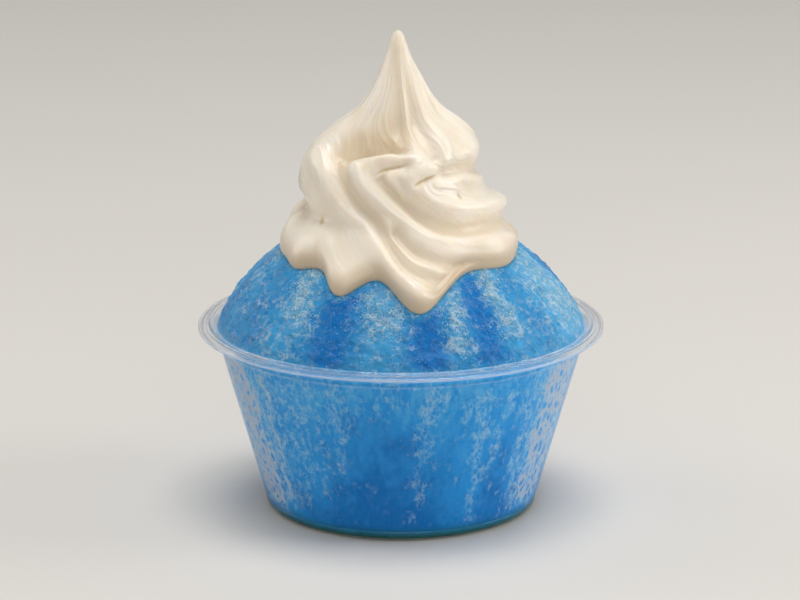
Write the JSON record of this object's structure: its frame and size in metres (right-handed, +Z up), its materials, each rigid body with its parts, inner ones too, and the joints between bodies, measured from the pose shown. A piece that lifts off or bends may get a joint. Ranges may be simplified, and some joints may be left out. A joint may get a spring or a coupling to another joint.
{
  "type": "kakigori",
  "caption": "Kakigori: shaved ice with blue syrup heaped in a clear round cup, with a peaked swirl of vanilla soft serve on top.",
  "frame": {"origin": "centre of the cup's foot, on the surface it stands on", "axes": "+Z up along the cup's axis, -Y towards the side with the longest run of soft serve, +X to the right of that side"},
  "size_m": [0.129, 0.129, 0.1543],
  "materials": {
    "cup": "clear, glossy, thin moulded plastic",
    "syrup": "wet, clear, deep blue-green syrup",
    "ice": "frosty, granular shaved ice soaked with blue syrup",
    "cream": "smooth, softly shining ivory soft serve"
  },
  "bodies": {
    "root": {"cup": "cup", "melted_syrup": "syrup", "shaved_ice": "ice", "soft_serve": "cream"}
  },
  "joints": []
}
